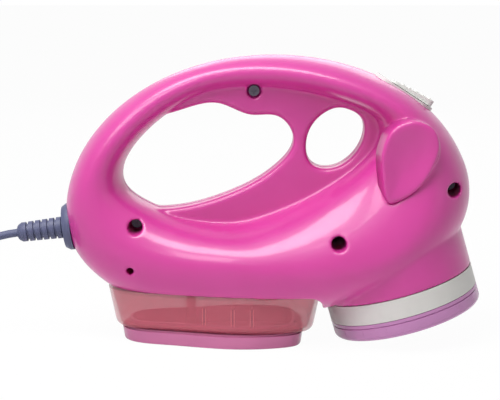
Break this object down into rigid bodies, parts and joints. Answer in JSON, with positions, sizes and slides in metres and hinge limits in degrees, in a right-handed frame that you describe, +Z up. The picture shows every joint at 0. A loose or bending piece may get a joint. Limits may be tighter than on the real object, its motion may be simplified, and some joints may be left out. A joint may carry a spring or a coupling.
{
  "type": "handheld garment steamer",
  "caption": "Handheld garment steamer with a looped handle, tilted round steam head, removable water tank in the base, thumb slide switch and a coiled mains cord.",
  "frame": {"origin": "Centre of the base's resting face, on the surface the steamer stands on.", "axes": "+X forward to the steam head, +Y away from the picture's viewer, +Z up."},
  "size_m": [0.4144, 0.1114, 0.1578],
  "materials": {
    "housing_pink": "gloss moulded ABS, pink",
    "band_grey": "satin moulded plastic, warm light grey",
    "cap_lilac": "gloss moulded plastic, lilac",
    "tank_rose": "clear tinted moulded plastic, rose",
    "base_lilac": "gloss moulded plastic, lilac pink",
    "switch_grey": "satin moulded plastic, light grey",
    "cord_slate": "soft PVC, slate blue",
    "tie_white": "soft plastic strap",
    "pin_nickel": "nickel plated brass",
    "screw_steel": "zinc plated steel",
    "boiler_alloy": "cast aluminium",
    "silicone": "silicone rubber",
    "inner_plastic": "glass filled plastic, dark",
    "winding": "lacquered copper winding",
    "wire": "PVC insulated wire"
  },
  "bodies": {
    "housing": {"boiler_body": "boiler_alloy", "boiler_cover": "boiler_alloy", "boiler_gasket": "silicone", "boiler_screw_1": "screw_steel", "boiler_screw_2": "screw_steel", "boiler_screw_3": "screw_steel", "cord_coil": "cord_slate", "cord_gland": "cord_slate", "cord_lead": "cord_slate", "cord_run": "cord_slate", "cord_tail": "cord_slate", "cord_tie": "tie_white", "dock_seal": "silicone", "dock_socket": "inner_plastic", "drop_cap_left": "housing_pink", "drop_cap_right": "housing_pink", "head_band": "band_grey", "heater_tab_left": "screw_steel", "heater_tab_right": "screw_steel", "housing_left": "housing_pink", "housing_right": "housing_pink", "housing_screw_1": "screw_steel", "housing_screw_2": "screw_steel", "housing_screw_3": "screw_steel", "housing_screw_4": "screw_steel", "inlet_hose": "silicone", "lead_boiler": "wire", "lead_handle": "wire", "outlet_hose": "silicone", "plug_body": "cord_slate", "plug_pin_1": "pin_nickel", "plug_pin_2": "pin_nickel", "pump_coil": "winding", "pump_cradle": "inner_plastic", "pump_tube": "inner_plastic", "slide_switch": "inner_plastic", "steam_plate": "screw_steel", "switch_bezel": "switch_grey", "thermal_fuse": "screw_steel", "thermostat": "inner_plastic"},
    "slider": {"thumb_slider": "switch_grey"},
    "tank": {"tank_shell": "tank_rose", "tank_base": "base_lilac", "tank_gasket": "silicone", "dip_tube": "inner_plastic", "dip_strainer": "inner_plastic"},
    "stopper": {"tank_stopper": "silicone"},
    "cap": {"steam_cap": "cap_lilac"}
  },
  "joints": [
    {"name": "switch_slide", "type": "slide", "parent": "housing", "child": "slider", "axis": [-0.8383, 0, 0.5452], "range_m": [0, 0.007]},
    {"name": "tank_release", "type": "slide", "parent": "housing", "child": "tank", "axis": [0, 0, -1], "range_m": [0, 0.045]},
    {"name": "stopper_lift", "type": "slide", "parent": "tank", "child": "stopper", "axis": [0, 0, 1], "range_m": [0, 0.008]},
    {"name": "cap_pull", "type": "slide", "parent": "housing", "child": "cap", "axis": [0.2756, 0, -0.9613], "range_m": [0, 0.02]}
  ]
}
